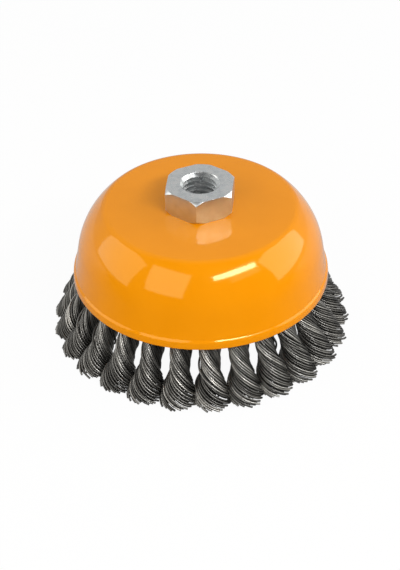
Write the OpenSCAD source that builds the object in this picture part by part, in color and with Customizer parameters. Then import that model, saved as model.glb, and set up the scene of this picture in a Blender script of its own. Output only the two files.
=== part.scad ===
// Knotted wire cup brush for an angle grinder.
// A pressed steel cup and a holder dish are staked together by a threaded nut.
// Each knot is a bundle of wires looped through its own hole in the holder,
// doubled back over the holder's edge and twisted tight down to the tips.
// The wire tips stand on z = 0 and the spindle axis is Z.

/* [Brush face] */
// Diameter over the wire tips
brush_d = 127.2; // [122:0.2:134]
// Number of knots round the cup
knot_count = 26; // [22:1:28]
// Turn of the ring of knots about the spindle axis
knot_phase = 4; // [-7:0.5:7]
// How far the knots stand out below the rim of the cup
trim_length = 24.3; // [20:0.1:32]
// Lean of the knots outwards from the upright
knot_lean = 24.2; // [18:0.1:28]

/* [Wire knots] */
// Width of a knot where it leaves the cup
knot_root_d = 8; // [7:0.1:8.6]
// Width that a knot would have at its tips if it did not flare
knot_body_d = 9.8; // [9:0.1:10.6]
// Height over which a knot flares out above its tips
flare_h = 24; // [16:0.5:26]
// Free gap between neighbouring knots at their tips
knot_gap = 0.4; // [0.3:0.05:1]
// Number of strands that show round a knot
strand_count = 6; // [5:1:7]
// Depth of the grooves between the strands
strand_depth = 0.6; // [0.2:0.05:0.9]
// Depth of the two waists between the halves of a knot that are twisted together
waist_depth = 0.7; // [0:0.1:1.2]
// Turn of a strand from the tips to the holder's edge, in degrees
knot_twist = 360; // [240:5:420]
// How far the wires in the grooves stop short of the tips
tip_step = 0.4; // [0.2:0.1:0.9]
// Diameter of the wire loop where it bends through the holder
loop_leg_d = 5; // [4:0.1:5.4]
// How much thinner than that the straight legs of the loop are
leg_slim = 0.4; // [0.3:0.05:0.8]

/* [Cup] */
// Height of the cup from the rim to its flat top
cup_h = 33.3; // [29:0.1:38]
// Thickness of the cup's sheet steel
cup_wall = 1.6; // [1.2:0.1:2.4]
// Lean of the band at the rim from the upright
rim_band_angle = 8; // [4:1:14]
// Height of the straight band at the rim
rim_band_h = 2.6; // [1.6:0.2:4]
// Radius of the rounded step above the band
rim_step_r = 2.5; // [2.5:0.1:4]
// Steepest lean of that step from the upright
rim_step_angle = 36; // [25:1:45]
// Radius of the hollow that blends the step into the side wall
rim_blend_r = 3; // [2:0.5:8]
// Lean of the side wall from the upright
wall_angle = 10; // [6:0.5:12]
// Radius of the large rounded shoulder
shoulder_r = 33; // [28:0.5:36]
// Lean of the shoulder from the upright where it meets the crown bend
shoulder_angle = 47.5; // [42:0.5:56]
// Radius of the bend between the shoulder and the flat top
crown_r = 4; // [3:0.5:7]

/* [Knot holder] */
// Thickness of the holder dish
holder_wall = 2; // [1.5:0.1:2.6]
// Height of the holder's lower edge above the rim of the cup
holder_edge_h = 5.4; // [4:0.2:8]
// Outer bend radius between the holder's skirt and its flat
holder_bend_r = 7; // [4:0.5:10]
// Width of the bridge between a hole and the edge of the skirt
holder_bridge = 3.4; // [2.5:0.1:4.5]

/* [Nut] */
// Width of the hexagon across its flats
nut_af = 27; // [26:0.5:30]
// Height of the hexagon
nut_h = 10.5; // [8:0.5:14]
// Diameter at which the chamfer cuts the hexagon's end faces
nut_chamfer_d = 28.2; // [27:0.1:29]
// Slope of the chamfer on the hexagon's corners
nut_chamfer_angle = 48; // [30:1:55]
// Turn of the hexagon about the spindle axis
nut_turn = -6; // [-30:1:30]
// Diameter at the crests of the internal thread
thread_minor_d = 13.6; // [12:0.1:15]
// Diameter of the countersink at the mouth of the thread
countersink_d = 16.4; // [15.6:0.1:18]
// Depth of the small countersink at the lower end of the thread
lower_countersink = 0.8; // [0.4:0.1:1.2]
// Diameter of the spigot that holds the cup and the holder
spigot_d = 20; // [18.5:0.5:22]
// Diameter of the staked collar below the holder
stake_d = 25; // [24:0.5:28]
// Thickness of the staked collar
stake_h = 2; // [1.2:0.1:3]

/* [Fits] */
// Clearance round the wire loop in its hole and at the edge of the holder
loop_clear = 0.3; // [0.2:0.05:0.5]
// Clearance between the spread of the wire loops and the inside of the cup's wall
wall_clear = 0.5; // [0.2:0.05:1.2]
// Radial clearance of the spigot in the cup and the holder
spigot_clear = 0.15; // [0.1:0.05:0.3]

/* [Hidden] */
knot_names = [for (i = [1:knot_count]) str(i < 10 ? "knot_0" : "knot_", i)];

$fn = 96;

paint_orange = [0.96, 0.58, 0.08];
zinc_grey = [0.72, 0.74, 0.76];
holder_grey = [0.52, 0.53, 0.55];
wire_grey = [0.33, 0.33, 0.34];

// Heights of the rim, the flat top and the underside of that top
rim_z = trim_length;
top_z = rim_z + cup_h;
holder_top_z = top_z - cup_wall;
hub_hole_r = spigot_d / 2 + spigot_clear;

// Loop of wire through the holder: its inner, middle and outer bend radius
loop_inner_r = holder_wall / 2 + loop_clear;
loop_bend_r = loop_inner_r + loop_leg_d / 2;
loop_half = loop_bend_r + loop_leg_d / 2;

// How far the bent loop reaches up and down where it passes the holder's faces
loop_up = sqrt(loop_half * loop_half - holder_wall * holder_wall / 4) - loop_bend_r;
loop_down = loop_bend_r - sqrt(loop_inner_r * loop_inner_r - holder_wall * holder_wall / 4);
hole_r = (loop_up + loop_down) / 2 + loop_clear;

// The tips share the face circle
half_pitch = 180 / knot_count;
tip_circle_r = (brush_d + knot_gap) / 2 / (1 + sin(half_pitch));
tip_r = tip_circle_r * sin(half_pitch) - knot_gap / 2;

// Places along a knot's leaning axis, measured from the tips
edge_s = (rim_z + holder_edge_h) / cos(knot_lean);
hole_s = edge_s + holder_bridge + hole_r;
bend_s = hole_s + (loop_down - loop_up) / 2 - loop_bend_r;
twist_top_s = edge_s - 2 * loop_clear;
twist_top_z = twist_top_s * cos(knot_lean);
// The legs start inside the twist and end a little way inside the bend
leg_start_s = twist_top_s - loop_leg_d / 2;
leg_end_s = bend_s + 2 * leg_slim;

// Rings of the twisted solid, and points round each ring
ring_count = 18;
ring_points = 2 * strand_count;
// Rings lie closer together near the tips, where the knot flares
ring_spread = 1.15;
// How much faster the lay turns near the tips than at the holder's edge
lay_gain = 1.8;

// Steps in each bend of a sheet profile, and round the edge of a sheet
bend_steps = 10;
edge_steps = 8;
// How far a bore's cutter runs past the metal at each end
cut_over = 1;

// Point beside a knot's axis in the RZ plane, offset square to that axis
function axis_point(s, off = 0) = [
    tip_circle_r - s * sin(knot_lean) + off * cos(knot_lean),
    s * cos(knot_lean) + off * sin(knot_lean)
];

// Bend of a sheet: [r, z, lean] along an arc that starts at p
function bend(p, r, lean_1, lean_2) =
    let (way = lean_2 > lean_1 ? 1 : -1)
    [for (k = [0:bend_steps])
        let (a = lean_1 + (lean_2 - lean_1) * k / bend_steps)
        [
            p[0] - way * r * (cos(lean_1) - cos(a)),
            p[1] + way * r * (sin(a) - sin(lean_1)),
            a
        ]
    ];

// Straight run of a sheet from p, up to the height z
function run_to(p, z) = [p[0] - (z - p[1]) * tan(p[2]), z, p[2]];

function last(list) = list[len(list) - 1];

// Start of a sheet whose rounded edge touches the radius r and the height z
function sheet_start(r, z, wall, lean) = [
    r - wall / 2 + wall / 2 * cos(lean),
    z + wall / 2 + wall / 2 * sin(lean),
    lean
];

// Closed section of a sheet of one thickness below an outer line
module sheet_section(line, wall) {
    inner = [for (p = line) [p[0] - wall * cos(p[2]), p[1] - wall * sin(p[2])]];
    centre = [line[0][0] - wall / 2 * cos(line[0][2]), line[0][1] - wall / 2 * sin(line[0][2])];
    edge = [for (k = [1:edge_steps - 1])
        let (a = line[0][2] - 180 + 180 * k / edge_steps)
        centre + wall / 2 * [cos(a), sin(a)]
    ];
    outer = [for (p = line) [p[0], p[1]]];
    back = [for (k = [len(inner) - 1:-1:0]) inner[k]];
    polygon(concat(outer, back, edge));
}

// Outer line of the band, its step and the hollow above it, for a rim of radius r
function band_line(r) =
    let (
        start = sheet_start(r, rim_z, cup_wall, rim_band_angle),
        step = bend(run_to(start, rim_z + rim_band_h), rim_step_r, rim_band_angle, rim_step_angle),
        hollow = bend(last(step), rim_blend_r, rim_step_angle, wall_angle)
    )
    concat([start], step, [for (k = [1:bend_steps]) hollow[k]]);

// The wall keeps clear of the loops, which spread widest at the top of the twist,
// and the rim stands out from that wall by the step above its band
spread_r = tip_circle_r - twist_top_z * tan(knot_lean) + loop_half / cos(knot_lean);
wall_r = spread_r + wall_clear + cup_wall / cos(wall_angle);
cup_rim_r = wall_r - run_to(last(band_line(0)), twist_top_z)[0];

// Outer line of the cup from the rim to the hole in its flat top
cup_band = band_line(cup_rim_r);
shoulder_rise = shoulder_r * (sin(shoulder_angle) - sin(wall_angle));
crown_rise = crown_r * (1 - sin(shoulder_angle));
shoulder_z = top_z - crown_rise - shoulder_rise;
cup_shoulder = bend(run_to(last(cup_band), shoulder_z), shoulder_r, wall_angle, shoulder_angle);
cup_crown = bend(last(cup_shoulder), crown_r, shoulder_angle, 90);
cup_line = concat(cup_band, cup_shoulder, [for (k = [1:bend_steps]) cup_crown[k]], [[hub_hole_r, top_z, 90]]);

// Outer line of the holder: its skirt lies on the knots' axes
skirt_start = concat(axis_point(edge_s + holder_wall / 2, holder_wall / 2), [knot_lean]);
skirt_end_z = holder_top_z - holder_bend_r * (1 - sin(knot_lean));
holder_bend = bend(run_to(skirt_start, skirt_end_z), holder_bend_r, knot_lean, 90);
holder_line = concat([skirt_start], holder_bend, [[hub_hole_r, holder_top_z, 90]]);

// Pressed and painted steel cup
module cup() {
    color(paint_orange)
    rotate_extrude()
    sheet_section(cup_line, cup_wall);
}

// Places a child on knot number i, with +X pointing away from the spindle axis
module at_knot(i) {
    rotate([0, 0, knot_phase - 90 + (i - 1) * 360 / knot_count])
    children();
}

// Places a child at a distance s along a knot's axis, with +Z along that axis
module on_axis(s) {
    p = axis_point(s);
    translate([p[0], 0, p[1]])
    rotate([0, -knot_lean, 0])
    children();
}

// Steel dish with one hole in its skirt for each knot
module knot_holder() {
    color(holder_grey)
    difference() {
        rotate_extrude()
        sheet_section(holder_line, holder_wall);
        for (i = [1:knot_count])
            at_knot(i)
            on_axis(hole_s)
            rotate([0, 90, 0])
            cylinder(r = hole_r, h = 2 * holder_wall + 2 * cut_over, center = true);
    }
}

// Hexagon nut whose spigot runs through the cup and the holder and is staked below
module threaded_nut() {
    stake_top_z = holder_top_z - holder_wall;
    stake_z = stake_top_z - stake_h;
    nut_top_z = top_z + nut_h;
    corner_r = nut_af / 2 / cos(30);
    chamfer_r = nut_chamfer_d / 2;
    chamfer_h = (corner_r - chamfer_r) * tan(nut_chamfer_angle);
    bore_r = thread_minor_d / 2;
    mouth_r = countersink_d / 2;
    mouth_h = mouth_r - bore_r;
    lower_r = bore_r + lower_countersink;
    stake_edge = stake_h / 3;
    color(zinc_grey)
    difference() {
        union() {
            intersection() {
                translate([0, 0, top_z])
                rotate([0, 0, nut_turn + 30])
                cylinder(r = corner_r, h = nut_h, $fn = 6);
                rotate_extrude()
                polygon([
                    [0, top_z],
                    [chamfer_r, top_z],
                    [corner_r, top_z + chamfer_h],
                    [corner_r, nut_top_z - chamfer_h],
                    [chamfer_r, nut_top_z],
                    [0, nut_top_z]
                ]);
            }
            rotate_extrude()
            polygon([
                [0, stake_z],
                [stake_d / 2 - stake_edge, stake_z],
                [stake_d / 2, stake_z + stake_edge],
                [stake_d / 2, stake_top_z],
                [spigot_d / 2, stake_top_z],
                [spigot_d / 2, top_z + nut_h / 2],
                [0, top_z + nut_h / 2]
            ]);
        }
        translate([0, 0, stake_z - cut_over])
        cylinder(r = bore_r, h = nut_top_z - stake_z + 2 * cut_over);
        translate([0, 0, nut_top_z - mouth_h])
        cylinder(r1 = bore_r, r2 = mouth_r, h = mouth_h);
        translate([0, 0, stake_z])
        cylinder(r1 = lower_r, r2 = bore_r, h = lower_countersink);
    }
}

// Half width of a knot at the height z, before it opens into its loop
function knot_half(z) =
    let (
        up = min(z / rim_z, 1),
        body = (knot_body_d + (knot_root_d - knot_body_d) * up) / 2,
        flare = z < flare_h ? (1 + cos(180 * z / flare_h)) / 2 : 0
    )
    body + (tip_r - knot_body_d / 2) * flare;

// Share of the way from the rim up to the top of the twisted solid
function opening(z) = z > rim_z ? (z - rim_z) / (twist_top_z - rim_z) : 0;

// Turn of the strands at the height z, left-handed as seen from the tips upwards
function lay(z) =
    let (t = 1 - z / twist_top_z, full = 1 + lay_gain)
    -knot_twist * (1 - (t + lay_gain * t * t) / full);

// Points of ring number k round a knot that leans over +X
function ring(k) =
    let (
        z = twist_top_z * pow(k / (ring_count - 1), ring_spread),
        open = opening(z),
        across = knot_half(z) * (1 - open) + loop_leg_d / 2 * open,
        along = knot_half(z) * (1 - open) + loop_half / cos(knot_lean) * open,
        groove = strand_depth * (1 - open),
        waist = waist_depth * (1 - open)
    )
    [for (j = [0:ring_points - 1])
        let (
            own = j * 360 / ring_points,
            a = lay(z) + own,
            cut = (j % 2 == 0 ? 0 : groove) + waist * (1 - cos(2 * own)) / 2,
            step = k == 0 && j % 2 == 1 ? tip_step : 0
        )
        [
            tip_circle_r - z * tan(knot_lean) + (along - cut) * cos(a),
            (across - cut) * sin(a),
            z + step
        ]
    ];

// One bundle of wires: the twisted rope and the loop through the holder
module knot(i) {
    n = ring_points;
    points = concat(
        [for (k = [0:ring_count - 1]) each ring(k)],
        [[tip_circle_r, 0, tip_step], [tip_circle_r - twist_top_z * tan(knot_lean), 0, twist_top_z]]
    );
    tip = n * ring_count;
    top = tip + 1;
    above = n * (ring_count - 1);
    faces = concat(
        [for (k = [0:ring_count - 2], j = [0:n - 1])
            [k * n + j, (k + 1) * n + j, (k + 1) * n + (j + 1) % n]],
        [for (k = [0:ring_count - 2], j = [0:n - 1])
            [k * n + j, (k + 1) * n + (j + 1) % n, k * n + (j + 1) % n]],
        [for (j = [0:n - 1]) [tip, j, (j + 1) % n]],
        [for (j = [0:n - 1]) [top, above + (j + 1) % n, above + j]]
    );
    color(wire_grey)
    at_knot(i) {
        polyhedron(points, faces);
        on_axis(leg_start_s)
        for (side = [-1, 1])
            translate([side * loop_bend_r, 0, 0])
            cylinder(d = loop_leg_d - leg_slim, h = leg_end_s - leg_start_s, $fn = 32);
        on_axis(bend_s)
        rotate([90, 0, 0])
        rotate_extrude(angle = 180, $fn = 48)
        translate([loop_bend_r, 0])
        circle(d = loop_leg_d, $fn = 32);
    }
}

cup();
knot_holder();
threaded_nut();
for (i = [1:knot_count])
    knot(i);
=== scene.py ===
import math
import random
import bpy
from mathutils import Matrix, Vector


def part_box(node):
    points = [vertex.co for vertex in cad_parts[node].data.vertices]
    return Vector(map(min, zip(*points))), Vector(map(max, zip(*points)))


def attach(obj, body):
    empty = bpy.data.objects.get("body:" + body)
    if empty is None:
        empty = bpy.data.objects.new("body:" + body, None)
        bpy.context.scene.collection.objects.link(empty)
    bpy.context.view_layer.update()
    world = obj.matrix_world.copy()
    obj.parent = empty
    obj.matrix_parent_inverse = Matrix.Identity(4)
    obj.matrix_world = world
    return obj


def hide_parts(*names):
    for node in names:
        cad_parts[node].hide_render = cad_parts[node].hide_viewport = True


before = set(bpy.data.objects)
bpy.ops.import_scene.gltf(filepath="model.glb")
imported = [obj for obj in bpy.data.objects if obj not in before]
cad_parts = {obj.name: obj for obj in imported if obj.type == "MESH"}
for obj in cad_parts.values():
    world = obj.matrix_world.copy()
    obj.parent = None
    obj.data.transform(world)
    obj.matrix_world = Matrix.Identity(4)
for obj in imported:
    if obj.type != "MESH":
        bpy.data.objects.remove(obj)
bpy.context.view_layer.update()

MM = 0.001


# Cup: one steel pressing about 1.6 mm thick with a flat top, a wide rounded
# shoulder and a short stepped band at the rim. It is enamelled glossy orange
# inside and out, and the nut's spigot clamps it to the holder below.
cup_low, cup_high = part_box("cup")
rim_z = cup_low.z / MM
top_z = cup_high.z / MM
rim_r = cup_high.x / MM
cup_wall = 1.6
hub_r = 10.15

# Leans of the sheet from the upright, from the rim up to the shoulder.
band_lean = 6.0
step_lean = 38.0
face_lean = 44.0
wall_lean = 10.0
shoulder_lean = 47.5
flat_lean = 90.0

# Height of the straight band, and the radii of the bends above it.
band_h = 3.1
step_r = 1.0
face_r = 6.5
rim_blend_r = 0.8
shoulder_r = 33.0
crown_r = 4.0

# How finely the sheet is bent and spun, and how near points are merged.
step_points = 6
face_points = 3
shoulder_points = 20
crown_points = 10
edge_points = 8
flat_rings = 4
cup_steps = 192
weld = 0.001


def sine(degrees):
    return math.sin(math.radians(degrees))


def cosine(degrees):
    return math.cos(math.radians(degrees))


def tangent(degrees):
    return math.tan(math.radians(degrees))


def straight(start, z, lean):
    """Point (r, z, lean) of sheet that runs on at its lean from start up to the height z."""
    return (start[0] - (z - start[1]) * tangent(lean), z, lean)


def bend(start, radius, lean_1, lean_2, count):
    """Points (r, z, lean) of sheet bent from one lean to another, from start on."""
    way = 1 if lean_2 > lean_1 else -1
    points = []
    for k in range(1, count + 1):
        lean = lean_1 + (lean_2 - lean_1) * k / count
        r = start[0] - way * radius * (cosine(lean_1) - cosine(lean))
        z = start[1] + way * radius * (sine(lean) - sine(lean_1))
        points.append((r, z, lean))
    return points


def inset(point, depth):
    """A point of the sheet's outside moved into the sheet by depth, square to it."""
    r, z, lean = point
    return (r - depth * cosine(lean), z - depth * sine(lean))


def select_only(piece):
    bpy.ops.object.select_all(action="DESELECT")
    piece.select_set(True)
    bpy.context.view_layer.objects.active = piece


def draw_line(name, points):
    """A new object with one line through the points (r, z), in mm, left in edit mode."""
    bpy.ops.object.select_all(action="DESELECT")
    bpy.ops.mesh.primitive_plane_add(size=MM)
    piece = bpy.context.object
    piece.name = name
    piece.data.name = name
    bpy.ops.object.mode_set(mode="EDIT")
    bpy.ops.mesh.merge(type="CENTER")
    here = (0.0, 0.0)
    for number, (r, z) in enumerate(points):
        step = ((r - here[0]) * MM, 0.0, (z - here[1]) * MM)
        if number == 0:
            bpy.ops.transform.translate(value=step)
        else:
            bpy.ops.mesh.extrude_vertices_move(TRANSFORM_OT_translate={"value": step})
        here = (r, z)
    return piece


def lathe(name, outline, steps):
    """Spins the outline of points (r, z), in mm, into a closed solid."""
    piece = draw_line(name, outline + outline[:1])
    bpy.ops.mesh.select_all(action="SELECT")
    bpy.ops.mesh.spin(steps=steps, angle=2 * math.pi, center=(0, 0, 0), axis=(0, 0, 1))
    bpy.ops.mesh.select_all(action="SELECT")
    bpy.ops.mesh.remove_doubles(threshold=weld * MM)
    bpy.ops.mesh.normals_make_consistent(inside=False)
    bpy.ops.object.mode_set(mode="OBJECT")
    return piece


def smooth(piece, degrees):
    select_only(piece)
    bpy.ops.object.shade_smooth_by_angle(angle=math.radians(degrees))


edge_r = cup_wall / 2
shoulder_rise = shoulder_r * (sine(shoulder_lean) - sine(wall_lean))
crown_rise = crown_r * (1 - sine(shoulder_lean))
cup_line = [(
    rim_r - edge_r + edge_r * cosine(band_lean),
    rim_z + edge_r + edge_r * sine(band_lean),
    band_lean,
)]
cup_line.append(straight(cup_line[-1], rim_z + band_h, band_lean))
cup_line += bend(cup_line[-1], step_r, band_lean, step_lean, step_points)
cup_line += bend(cup_line[-1], face_r, step_lean, face_lean, face_points)
cup_line += bend(cup_line[-1], rim_blend_r, face_lean, wall_lean, step_points)
cup_line.append(straight(cup_line[-1], top_z - crown_rise - shoulder_rise, wall_lean))
cup_line += bend(cup_line[-1], shoulder_r, wall_lean, shoulder_lean, shoulder_points)
cup_line += bend(cup_line[-1], crown_r, shoulder_lean, flat_lean, crown_points)
flat_r = cup_line[-1][0]
for k in range(1, flat_rings + 1):
    cup_line.append((flat_r + (hub_r - flat_r) * k / flat_rings, top_z, flat_lean))
cup_outline = [inset(point, 0.0) for point in cup_line]
cup_outline += [inset(point, cup_wall) for point in reversed(cup_line)]
edge_r_middle, edge_z_middle = inset(cup_line[0], edge_r)
for k in range(1, edge_points):
    turn = band_lean - 180 + 180 * k / edge_points
    cup_outline.append((edge_r_middle + edge_r * cosine(turn), edge_z_middle + edge_r * sine(turn)))
cup_shell = lathe("cup_shell", cup_outline, cup_steps)
smooth(cup_shell, 40)


def new_material(name):
    """A new material, its node tree and its Principled shader."""
    material = bpy.data.materials.new(name)
    material.use_nodes = True
    tree = material.node_tree
    return material, tree, tree.nodes["Principled BSDF"]


def feed(tree, made, inputs):
    """Sets a node's inputs to plain values, or links them to the sockets given."""
    for key, value in inputs.items():
        if isinstance(value, bpy.types.NodeSocket):
            tree.links.new(value, made.inputs[key])
        else:
            made.inputs[key].default_value = value


def node(tree, kind, inputs=None, **settings):
    """Adds a node, gives it its settings and then feeds its inputs."""
    made = tree.nodes.new(kind)
    for key, value in settings.items():
        setattr(made, key, value)
    feed(tree, made, inputs or {})
    return made


# Mottle is the cloudy unevenness of every finish here: noise on the piece's own
# coordinates, in cells per metre, with its useful middle spread from low to high.
mottle_group = bpy.data.node_groups.new("mottle", "ShaderNodeTree")
for socket in ("Scale", "Detail", "Low", "High"):
    mottle_group.interface.new_socket(socket, in_out="INPUT", socket_type="NodeSocketFloat")
mottle_group.interface.new_socket("Value", in_out="OUTPUT", socket_type="NodeSocketFloat")
given = node(mottle_group, "NodeGroupInput").outputs
clouds = node(mottle_group, "ShaderNodeTexNoise", {
    "Vector": node(mottle_group, "ShaderNodeTexCoord").outputs["Object"],
    "Scale": given["Scale"],
    "Detail": given["Detail"],
})
stretch = node(mottle_group, "ShaderNodeMapRange", {
    "Value": clouds.outputs["Fac"],
    "From Min": 0.3,
    "From Max": 0.7,
    "To Min": given["Low"],
    "To Max": given["High"],
})
node(mottle_group, "NodeGroupOutput", {"Value": stretch.outputs["Result"]})


def mottled(tree, scale, detail, low=0.0, high=1.0):
    """The mottle group placed in a material with its own values."""
    values = {"Scale": scale, "Detail": detail, "Low": low, "High": high}
    return node(tree, "ShaderNodeGroup", values, node_tree=mottle_group).outputs["Value"]


def ramp(tree, value, stops):
    """Colour ramp through the stops (position, colour)."""
    made = node(tree, "ShaderNodeValToRGB", {"Fac": value})
    keys = made.color_ramp.elements
    while len(keys) < len(stops):
        keys.new(0.5)
    for key, (position, colour) in zip(keys, stops):
        key.position = position
        key.color = (*colour, 1.0)
    return made.outputs["Color"]


def relief(tree, height, strength, distance):
    """Normal of a slight relief, whose full height is the distance in mm."""
    inputs = {"Height": height, "Strength": strength, "Distance": distance * MM}
    return node(tree, "ShaderNodeBump", inputs).outputs["Normal"]


enamel, tree, shader = new_material("orange_enamel")
feed(tree, shader, {
    "Base Color": ramp(tree, mottled(tree, 60, 3), [
        (0.0, (0.83, 0.275, 0.0012)), (1.0, (0.86, 0.290, 0.0025))]),
    "Roughness": mottled(tree, 300, 4, 0.075, 0.105),
    "Normal": relief(tree, mottled(tree, 420, 2), 0.02, 0.02),
    "Specular IOR Level": 0.45,
    "Specular Tint": (0.95, 1.0, 0.35, 1.0),
    "Coat Weight": 0.3,
    "Coat Roughness": 0.07,
    "Coat IOR": 1.5,
})
cup_shell.data.materials.append(enamel)
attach(cup_shell, "root")
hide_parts("cup")


# Nut: one turned piece of zinc-plated steel, 27 mm across its flats, with a
# countersunk mouth and a 5/8 inch thread of 11 turns to the inch. Its spigot
# runs through the cup and the holder and is staked over below them.
nut_af = 27.0
nut_h = 10.5
nut_turn = -6.0
nut_chamfer_r = 14.1
nut_chamfer_lean = 48.0
nut_edge = 0.28
bore_r = 6.8
mouth_r = 8.2
lower_sink = 0.8
spigot_r = 10.0
stake_r = 12.5
stake_h = 2.0
holder_wall = 2.0
round_steps = 128

# The thread's groove: its depth and turns, and its flats and flanks as shares of a turn.
thread_major_r = 7.94
thread_pitch = 25.4 / 11
thread_steps = 64
crest_share = 0.10
flank_share = 0.38
root_share = 0.14

# How far the cutting tools reach past the metal, and the spigot into the hexagon.
face_over = 0.01
corner_over = 0.2
mouth_over = 0.5
drill_over = 1.0
tap_over = 2.0
tap_overlap = 0.25
spare_turns = 2
spigot_joint = 1.0

nut_top_z = top_z + nut_h
corner_r = nut_af / 2 / cosine(30)
chamfer_h = (corner_r - nut_chamfer_r) * tangent(nut_chamfer_lean)
chamfer_reach = chamfer_h + corner_over * tangent(nut_chamfer_lean)
stake_top_z = top_z - cup_wall - holder_wall
stake_z = stake_top_z - stake_h
stake_edge = stake_h / 3


def add_modifier(piece, kind, **settings):
    """Adds a modifier and applies it at once."""
    select_only(piece)
    bpy.ops.object.modifier_add(type=kind)
    modifier = piece.modifiers[-1]
    for key, value in settings.items():
        setattr(modifier, key, value)
    bpy.ops.object.modifier_apply(modifier=modifier.name)


def combine(piece, tool, operation):
    """Boolean of piece with tool, which is used up."""
    add_modifier(piece, "BOOLEAN", object=tool, operation=operation, solver="EXACT")
    bpy.data.objects.remove(tool)


bpy.ops.object.select_all(action="DESELECT")
bpy.ops.mesh.primitive_cylinder_add(
    vertices=6, radius=corner_r * MM, depth=nut_h * MM,
    location=(0, 0, (top_z + nut_h / 2) * MM), rotation=(0, 0, math.radians(nut_turn)))
nut = bpy.context.object
nut.name = "nut"
nut.data.name = "nut"
bpy.ops.object.transform_apply(location=True, rotation=True, scale=True)
chamfers = lathe("nut_chamfers", [
    (0.0, top_z - face_over),
    (nut_chamfer_r, top_z - face_over),
    (corner_r + corner_over, top_z + chamfer_reach),
    (corner_r + corner_over, nut_top_z - chamfer_reach),
    (nut_chamfer_r, nut_top_z + face_over),
    (0.0, nut_top_z + face_over),
], round_steps)
combine(nut, chamfers, "INTERSECT")
add_modifier(nut, "BEVEL", width=nut_edge * MM, segments=3, limit_method="ANGLE",
             angle_limit=math.radians(28), miter_outer="MITER_ARC")
spigot = lathe("nut_spigot", [
    (0.0, stake_z),
    (stake_r - stake_edge, stake_z),
    (stake_r, stake_z + stake_edge),
    (stake_r, stake_top_z),
    (spigot_r, stake_top_z),
    (spigot_r, top_z + spigot_joint),
    (0.0, top_z + spigot_joint),
], round_steps)
combine(nut, spigot, "UNION")
drill = lathe("nut_drill", [
    (0.0, stake_z - drill_over),
    (bore_r + lower_sink, stake_z - drill_over),
    (bore_r + lower_sink, stake_z),
    (bore_r, stake_z + lower_sink),
    (bore_r, nut_top_z - (mouth_r - bore_r)),
    (mouth_r + mouth_over, nut_top_z + mouth_over),
    (0.0, nut_top_z + mouth_over),
], round_steps)
combine(nut, drill, "DIFFERENCE")

# The tap is the groove's profile screwed upwards and cut flat at both ends.
tap_root_r = bore_r - tap_overlap
tap_low, tap_high = stake_z - tap_over, nut_top_z + tap_over
groove = [(tap_root_r, tap_low - spare_turns * thread_pitch)]
for r, share in (
    (tap_root_r, crest_share / 2),
    (thread_major_r, flank_share),
    (thread_major_r, root_share),
    (tap_root_r, flank_share),
    (tap_root_r, crest_share / 2),
):
    groove.append((r, groove[-1][1] + share * thread_pitch))
tap = draw_line("nut_tap", groove)
bpy.ops.object.mode_set(mode="OBJECT")
turns = math.ceil((tap_high - tap_low) / thread_pitch) + 2 * spare_turns
add_modifier(tap, "SCREW", steps=thread_steps, render_steps=thread_steps, angle=2 * math.pi,
             screw_offset=thread_pitch * MM, iterations=turns, use_merge_vertices=True,
             merge_threshold=weld * MM)
bpy.ops.object.mode_set(mode="EDIT")
bpy.ops.mesh.select_all(action="SELECT")
bpy.ops.mesh.remove_doubles(threshold=weld * MM)
bpy.ops.mesh.bisect(plane_co=(0, 0, tap_low * MM), plane_no=(0, 0, 1),
                    use_fill=True, clear_inner=True)
bpy.ops.mesh.select_all(action="SELECT")
bpy.ops.mesh.bisect(plane_co=(0, 0, tap_high * MM), plane_no=(0, 0, 1),
                    use_fill=True, clear_outer=True)
bpy.ops.mesh.select_all(action="SELECT")
bpy.ops.mesh.normals_make_consistent(inside=False)
bpy.ops.object.mode_set(mode="OBJECT")
combine(nut, tap, "DIFFERENCE")
smooth(nut, 32)


def maths(tree, operation, *terms, **settings):
    """Output of a Math node with the terms as its inputs."""
    inputs = dict(enumerate(terms))
    return node(tree, "ShaderNodeMath", inputs, operation=operation, **settings).outputs[0]


# The colour follows how far each face looks up. The turned faces on top are bright
# and spangled, and the hexagon's sides are as the bar was drawn, greyer and rougher;
# the same mask also adds painted light from above to the faces that look up. In the
# bore it is painted light and shade: the thread's upward flanks are painted lighter,
# its downward flanks darker, and the rest of the bore is mostly the greyer colour.
bore_reach = 8.0
bore_share = 0.25
side_roughness = 0.12
zinc, tree, shader = new_material("bright_zinc")
spangle_and_highlight = ramp(tree, mottled(tree, 450, 5), [
    (0.1, (0.80, 0.83, 0.84)), (0.5, (0.92, 0.95, 0.95)), (0.9, (0.99, 0.99, 0.98))])
drawn_bar_and_shade = ramp(tree, mottled(tree, 250, 2), [
    (0.1, (0.60, 0.61, 0.62)), (0.9, (0.67, 0.68, 0.69))])
surface = node(tree, "ShaderNodeTexCoord").outputs
facing = node(tree, "ShaderNodeSeparateXYZ", {0: surface["Normal"]}).outputs
place = node(tree, "ShaderNodeSeparateXYZ", {0: surface["Object"]}).outputs
across = node(tree, "ShaderNodeCombineXYZ", {"X": place["X"], "Y": place["Y"]}).outputs[0]
from_axis = node(tree, "ShaderNodeVectorMath", {0: across}, operation="LENGTH").outputs["Value"]
in_bore = maths(tree, "LESS_THAN", from_axis, bore_reach * MM)
# Share of the bright colour: the turned faces, with painted light on them and on the thread's upper
# flanks, and painted shade on its lower flanks.
turned_and_lit = maths(tree, "MULTIPLY_ADD", in_bore, bore_share, facing["Z"], use_clamp=True)
plate = node(tree, "ShaderNodeMix", {"Factor": turned_and_lit, "A": drawn_bar_and_shade, "B": spangle_and_highlight},
             data_type="RGBA")
satin = mottled(tree, 400, 3, 0.25, 0.32)
sheen = maths(tree, "MULTIPLY_ADD", turned_and_lit, -side_roughness, side_roughness)
feed(tree, shader, {
    "Base Color": plate.outputs["Result"],
    "Roughness": maths(tree, "ADD", satin, sheen),
    "Metallic": 1.0,
})
nut.data.materials.append(zinc)
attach(nut, "root")
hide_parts("threaded_nut")


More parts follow.
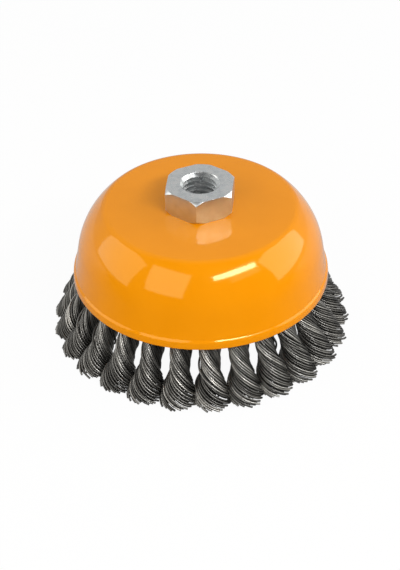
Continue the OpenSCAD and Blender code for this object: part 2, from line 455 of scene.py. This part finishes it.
# Knot holder: a dish of plain pressed steel under the cup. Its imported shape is
# right as it is, with one hole in the skirt for each knot, so it only gets its
# finish: rolled steel with a thin film of oil and fine drawing marks.
pressed, tree, shader = new_material("pressed_steel")
feed(tree, shader, {
    "Base Color": ramp(tree, mottled(tree, 160, 5), [
        (0.0, (0.20, 0.20, 0.21)), (0.6, (0.33, 0.33, 0.34)), (1.0, (0.42, 0.42, 0.43))]),
    "Roughness": mottled(tree, 500, 4, 0.30, 0.50),
    "Normal": relief(tree, mottled(tree, 1500, 3), 0.2, 0.02),
    "Metallic": 1.0,
})
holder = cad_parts["knot_holder"]
holder.data.materials.clear()
holder.data.materials.append(pressed)


# Knots: 26 bundles of carbon steel wire, drawn 0.9 mm thick. Each wire goes up
# one side of its bundle, through its hole in the holder and down the other side,
# and the bundle is twisted left-handed below it and cut ragged at the tips.
knot_count = 26
knot_seed = 700
knot_phase = 4.0
knot_lean = 24.2
brush_d = 127.2
knot_gap = 0.4
wire_r = 0.43
wire_sides = 8

# Half width of a bundle at its root and body, and at the tips, where it flares.
knot_root_r = 4.5
knot_body_r = 5.2
fan_r = 7.4
flare_h = 15.0
squeeze = 0.07

# The twist and how much of it lies low, the strands' grooves and the two waists.
knot_twist = 340.0
lay_gain = 0.9
strand_count = 6
strand_depth = 0.4
waist_depth = 0.7

# Heights below which the strands merge and the cut ends splay, and how much a
# wire sways on its way, with the lag between its two sides.
merge_h = 12.0
splay_h = 6.0
tip_turn = 0.15
sway_turn = 0.02
sway_out = 0.08
side_lag = 1.3

# Wires that pass through the holder, wires just inside them, and short ones that
# fill the tips, with how deep each kind lies and how much darker it is painted as
# shade inside the bundle.
loop_wires = 12
inner_wires = 22
inner_depth = 0.86
inner_shade = 0.5
inner_drop = 2.0
short_wires = 30
short_depth = 0.8
short_shade = 0.4
short_top_z = 11.0
short_spiral = 2.4
proud_wire_share = 0.06
middle_tone = 0.5
tip_low = 0.42
tip_ragged = 0.7
twist_steps = 30
inner_steps = 26
short_steps = 4
bend_steps = 5
crowding = 1.15

# The loop through the holder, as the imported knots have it. Lengths along the
# leaning axis of a knot, from the tips' plane, end in _s.
holder_edge_h = 5.4
holder_bridge = 3.4
loop_clear = 0.3
loop_leg_d = 5.0
leg_slim = 0.4
half_pitch = 180 / knot_count
tip_circle_r = (brush_d + knot_gap) / 2 / (1 + sine(half_pitch))
loop_leg_r = (loop_leg_d - leg_slim) / 2
loop_inner_r = holder_wall / 2 + loop_clear
loop_bend_r = loop_inner_r + loop_leg_d / 2
loop_half = loop_bend_r + loop_leg_d / 2
loop_down = loop_bend_r - math.sqrt(loop_inner_r ** 2 - holder_wall ** 2 / 4)
loop_up = math.sqrt(loop_half ** 2 - holder_wall ** 2 / 4) - loop_bend_r
edge_s = (rim_z + holder_edge_h) / cosine(knot_lean)
hole_s = edge_s + holder_bridge + (loop_up + loop_down) / 2 + loop_clear
bend_s = hole_s + (loop_down - loop_up) / 2 - loop_bend_r
twist_top_s = edge_s - 2 * loop_clear
twist_top_z = twist_top_s * cosine(knot_lean)
opening_z = rim_z - 1.0


def ease(value):
    """Smooth step from 0 to 1."""
    value = min(max(value, 0.0), 1.0)
    return value * value * (3 - 2 * value)


def knot_half(z):
    """Half width of a knot's bundle at the height z above the tips."""
    body = knot_body_r + (knot_root_r - knot_body_r) * min(z / rim_z, 1.0)
    flare = (1 + math.cos(math.pi * z / flare_h)) / 2 if z < flare_h else 0.0
    return body + (fan_r - knot_body_r) * flare


def lay(z):
    """Turn of the bundle at the height z, from nothing at the top of the twist."""
    t = 1 - z / twist_top_z
    return math.radians(knot_twist) * (t + lay_gain * t * t) / (1 + lay_gain)


def leg_place(side, angle):
    """Place of a wire in one leg of the loop, across the knot's axis."""
    ring = loop_leg_r - wire_r
    return (side * (loop_bend_r + ring * math.cos(angle)), ring * math.sin(angle))


def twist_point(wire, side, z):
    """Point of a wire in the twisted part, in the knot's own frame, in mm."""
    start = wire["angle"] / 2 if side > 0 else math.pi - wire["angle"] / 2
    sway = math.sin(wire["phase"] + side * side_lag + z * wire["wave"])
    near_tip = max(1 - z / splay_h, 0) ** 2
    turn = start + lay(z) + wire["turn"] * ease(1 - z / merge_h)
    turn += sway_turn * sway + tip_turn * near_tip
    own = start + math.radians(knot_twist)
    parted = ease(z / merge_h)
    waist = waist_depth * parted * (1 - math.cos(2 * own)) / 2
    groove = strand_depth * parted * (1 - math.cos(strand_count * own)) / 2
    r = (knot_half(z) - waist - groove) * wire["depth"] - wire_r
    r += wire["proud"] + sway_out * sway + wire["splay"] * near_tip
    r += wire["bulge"] * math.sin(math.pi * min(z / rim_z, 1.0)) ** 2
    x = r * math.cos(turn)
    y = r * math.sin(turn) * (1 + squeeze * ease(1 - z / flare_h))
    opening = ease((z - opening_z) / (twist_top_z - opening_z))
    leg_x, leg_y = leg_place(side, wire["angle"])
    x += (leg_x - x) * opening
    y += (leg_y - y) * opening
    tilt = knot_lean * parted
    return (tip_circle_r - z * tangent(knot_lean) + x * cosine(tilt), y, z + x * sine(tilt))


def axis_place(off, y, s):
    """Point beside the knot's leaning axis, in the knot's own frame, in mm."""
    return (
        tip_circle_r - s * sine(knot_lean) + off * cosine(knot_lean),
        y,
        s * cosine(knot_lean) + off * sine(knot_lean),
    )


def twist_path(wire, side, tip, high, steps):
    """Points of a wire from its tip up to the height high, closer together near the tip."""
    return [twist_point(wire, side, tip + (high - tip) * (k / steps) ** crowding)
            for k in range(steps + 1)]


def loop_path(wire):
    """One wire from tip to tip, up one side, through the holder and down the other."""
    path = twist_path(wire, 1, wire["tip"], twist_top_z, twist_steps)
    off, y = leg_place(1, wire["angle"])
    for k in range(bend_steps + 1):
        turn = math.pi * k / bend_steps
        path.append(axis_place(off * math.cos(turn), y, bend_s + off * math.sin(turn)))
    down = twist_path(wire, -1, wire["other_tip"], twist_top_z, twist_steps)
    return path + down[::-1]


def new_wire(draw, angle, depth):
    """The small differences that make each wire lie its own way."""
    return {
        "angle": angle,
        "depth": depth,
        "phase": draw.uniform(0, 2 * math.pi),
        "wave": draw.uniform(0.15, 0.4),
        "turn": draw.uniform(-0.06, 0.06),
        "proud": draw.uniform(-0.25, 0.10),
        "bulge": draw.uniform(0.5, 1.1) if draw.random() < proud_wire_share else 0.0,
        "splay": draw.uniform(-0.3, 0.7),
        "tip": tip_low + tip_ragged * draw.random() ** 2,
        "other_tip": tip_low + tip_ragged * draw.random() ** 2,
        "tone": draw.random(),
    }


def wire_paths(draw):
    """Paths and tones of all the wires in one knot, with painted shade on the inner and short ones.
    """
    paths = []
    for j in range(loop_wires):
        angle = 2 * math.pi * (j + draw.uniform(0.35, 0.65)) / loop_wires - math.pi
        wire = new_wire(draw, angle, 1.0)
        paths.append((loop_path(wire), wire["tone"]))
    for j in range(inner_wires):
        side = 1 if j % 2 == 0 else -1
        angle = 4 * math.pi * (j + draw.uniform(0.2, 0.8)) / inner_wires
        wire = new_wire(draw, math.remainder(angle, 2 * math.pi), inner_depth)
        wire["bulge"] = 0.0
        path = twist_path(wire, side, wire["tip"], twist_top_z - inner_drop, inner_steps)
        # The inner wires are painted darker, as shade within the bundle.
        paths.append((path, wire["tone"] * inner_shade))
    for j in range(short_wires):
        side = 1 if j % 2 == 0 else -1
        depth = short_depth * math.sqrt((j + 0.5) / short_wires)
        wire = new_wire(draw, math.remainder(short_spiral * j, 2 * math.pi), depth)
        wire["bulge"] = 0.0
        path = twist_path(wire, side, wire["tip"], short_top_z, short_steps)
        # The short wires are painted darker still, as shade among the tips.
        paths.append((path, wire["tone"] * short_shade))
    return paths


def knot_piece(number):
    """All the wires of one knot as one mesh, with each wire's tone and painted shade as an
    attribute.
    """
    name = f"knot_{number:02d}_wires"
    draw = random.Random(knot_seed + number)
    turn = knot_phase - 90 + (number - 1) * 360 / knot_count
    curve = bpy.data.curves.new(name, "CURVE")
    curve.dimensions = "3D"
    curve.bevel_depth = wire_r * MM
    curve.bevel_resolution = wire_sides // 2 - 2
    curve.use_fill_caps = True
    paths = wire_paths(draw)
    for path, tone in paths:
        spline = curve.splines.new("POLY")
        spline.points.add(len(path) - 1)
        for point, (x, y, z) in zip(spline.points, path):
            around = (x * cosine(turn) - y * sine(turn), x * sine(turn) + y * cosine(turn))
            point.co = (around[0] * MM, around[1] * MM, z * MM, 1.0)
    piece = bpy.data.objects.new(name, curve)
    bpy.context.scene.collection.objects.link(piece)
    select_only(piece)
    bpy.ops.object.convert(target="MESH")
    tones_and_shade = []
    for path, tone in paths:
        tones_and_shade += [tone] * (wire_sides * len(path))
    # The caps on the cut ends have points too, so each tone ends a little way
    # along the next wires, and the last short ones are left in the middle tone.
    tones_and_shade += [middle_tone] * (len(piece.data.vertices) - len(tones_and_shade))
    attribute = piece.data.attributes.new("wire_tone_and_shade", "FLOAT", "POINT")
    attribute.data.foreach_set("value", tones_and_shade)
    smooth(piece, 100)
    return piece


wire_steel, tree, shader = new_material("drawn_wire")
# Each wire's tone differs at random, and the inner and short wires are painted darker as shade.
tone = node(tree, "ShaderNodeAttribute", attribute_name="wire_tone_and_shade").outputs["Fac"]
tone_and_shade_colour = ramp(tree, tone, [
    (0.0, (0.12, 0.117, 0.110)), (0.5, (0.27, 0.263, 0.248)),
    (0.85, (0.44, 0.43, 0.405)), (1.0, (0.68, 0.66, 0.62))])
stain = ramp(tree, mottled(tree, 250, 3), [(0.1, (0.75, 0.75, 0.75)), (0.9, (1.0, 1.0, 1.0))])
stained = node(tree, "ShaderNodeMix", {"Factor": 1.0, "A": tone_and_shade_colour, "B": stain},
               data_type="RGBA", blend_type="MULTIPLY")
feed(tree, shader, {
    "Base Color": stained.outputs["Result"],
    "Roughness": mottled(tree, 900, 3, 0.30, 0.42),
    "Normal": relief(tree, mottled(tree, 4000, 2), 0.05, 0.01),
    "Metallic": 1.0,
})

for number in range(1, knot_count + 1):
    knot = knot_piece(number)
    knot.data.materials.append(wire_steel)
    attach(knot, "root")
    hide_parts(f"knot_{number:02d}")


# Floor and background: the brush stands on its wire tips on a plain white
# sweep, which keeps a faint shadow. The sweep is bright behind the brush, and
# the room in front of it, where the camera stands, is dark.
floor_r = 3.0
plain_white = (1.0, 1.0, 1.0, 1.0)

# The sweep's tone for the light that it throws back and for the camera, and how
# much of what the camera sees of it is its own glow.
sweep_tones = (0.60, 0.85)
seen_glow = 0.95

# Brightness of the sweep and of the room as metal and enamel mirror them, from
# the front to the back, and the room's light on the brush.
sweep_reach, sweep_front, sweep_back = 0.12, 0.04, 0.65
room_reach, room_front, room_back = 0.5, 0.03, 0.45
room_light = 0.47


def seen_straight(tree, rays):
    """1 for a ray from the camera, also through glass, and 0 for any other."""
    return maths(tree, "MAXIMUM", rays["Is Camera Ray"], rays["Is Transmission Ray"])


def front_to_back(tree, place, reach, front, back):
    """A value that rises along Y from front to back, over the reach each side of 0."""
    parts = node(tree, "ShaderNodeSeparateXYZ", {0: place}).outputs
    return node(tree, "ShaderNodeMapRange", {
        "Value": parts["Y"], "From Min": -reach, "From Max": reach,
        "To Min": front, "To Max": back,
    }, interpolation_type="SMOOTHSTEP").outputs["Result"]


def mix_shaders(tree, share, first, second):
    """Mix of two shader nodes, with the share of the second."""
    inputs = {"Fac": share, 1: first.outputs[0], 2: second.outputs[0]}
    return node(tree, "ShaderNodeMixShader", inputs)


bpy.ops.object.select_all(action="DESELECT")
bpy.ops.mesh.primitive_circle_add(
    vertices=64, radius=floor_r, fill_type="NGON", location=(0, 0, 0))
floor = bpy.context.object
floor.name = "floor"
floor_paint, tree, shader = new_material("white_sweep")
tree.nodes.remove(shader)
rays = node(tree, "ShaderNodeLightPath").outputs
seen = seen_straight(tree, rays)
card_tone = node(tree, "ShaderNodeMapRange", {
    "Value": rays["Is Camera Ray"], "To Min": sweep_tones[0], "To Max": sweep_tones[1]})
card = node(tree, "ShaderNodeBsdfDiffuse", {"Color": card_tone.outputs["Result"]})
behind = front_to_back(tree, node(tree, "ShaderNodeTexCoord").outputs["Object"],
                       sweep_reach, sweep_front, sweep_back)
glow = node(tree, "ShaderNodeEmission", {
    "Strength": maths(tree, "MULTIPLY_ADD", rays["Is Glossy Ray"], behind, seen)})
share = maths(tree, "MULTIPLY_ADD", seen, seen_glow, rays["Is Glossy Ray"])
sweep = mix_shaders(tree, share, card, glow)
feed(tree, tree.nodes["Material Output"], {"Surface": sweep.outputs[0]})
floor.data.materials.append(floor_paint)

world = bpy.data.worlds.new("studio")
bpy.context.scene.world = world
world.use_nodes = True
tree = world.node_tree
tree.nodes.clear()
rays = node(tree, "ShaderNodeLightPath").outputs
room = front_to_back(tree, node(tree, "ShaderNodeTexCoord").outputs["Generated"],
                     room_reach, room_front, room_back)
soft_light, mirrored, white = (
    node(tree, "ShaderNodeBackground", {"Color": plain_white, "Strength": strength})
    for strength in (room_light, room, 1.0)
)
lit = mix_shaders(tree, rays["Is Glossy Ray"], soft_light, mirrored)
shown = mix_shaders(tree, seen_straight(tree, rays), lit, white)
node(tree, "ShaderNodeOutputWorld", {"Surface": shown.outputs[0]})


# Lamps: soft boxes round the front and sides, a metre from the brush, whose
# reflections lie on the enamel as pale windows, and one narrow strip.
lamp_aim_z = 45.0
lamp_distance = 1.0
cream = (1.0, 0.985, 0.94)
cold_white = (1.0, 1.0, 1.0)


def soft_box(name, azimuth, elevation, width, height, radiance, colour):
    """Area lamp seen from the brush that far to the right of the camera's side, and up."""
    way = Vector((
        sine(azimuth) * cosine(elevation),
        -cosine(azimuth) * cosine(elevation),
        sine(elevation),
    ))
    light = bpy.data.lights.new(name, "AREA")
    light.shape = "RECTANGLE"
    light.size = width
    light.size_y = height
    light.energy = radiance * math.pi * width * height
    light.color = colour
    lamp = bpy.data.objects.new(name, light)
    lamp.location = Vector((0.0, 0.0, lamp_aim_z * MM)) + way * lamp_distance
    lamp.rotation_mode = "QUATERNION"
    lamp.rotation_quaternion = way.to_track_quat("Z", "Y")
    lamp.visible_camera = False
    bpy.context.scene.collection.objects.link(lamp)


soft_box("window_left", -88, 22, 0.84, 0.72, 1.4, cream)
soft_box("window_front_left", -33, 28, 0.62, 0.62, 1.9, cream)
soft_box("strip_front_right", 37, 40, 0.68, 0.11, 18.0, cold_white)
soft_box("glow_front_right", 45, 37, 0.50, 0.30, 0.9, cream)
soft_box("window_right", 93, 23, 0.86, 0.68, 2.1, cream)


# Camera: at the photograph's angle, 37 degrees above the tips' plane, with the
# perspective solved from the rim, the nut and the ring of tips.
camera_place = (0.0, -465.4, 370.2)
camera_dip = 37.29
camera_yaw = 0.053
camera_roll = -0.586
camera_data = bpy.data.cameras.new("camera")
camera_data.sensor_width = 36.0
camera_data.lens = 85.9
camera_data.dof.use_dof = False
camera = bpy.data.objects.new("camera", camera_data)
camera.location = [place * MM for place in camera_place]
camera.rotation_euler = (math.radians(90 - camera_dip), 0.0, math.radians(camera_yaw))
camera.rotation_euler.rotate_axis("Z", math.radians(camera_roll))
bpy.context.scene.collection.objects.link(camera)
bpy.context.scene.camera = camera
bpy.context.scene.view_settings.view_transform = "Standard"
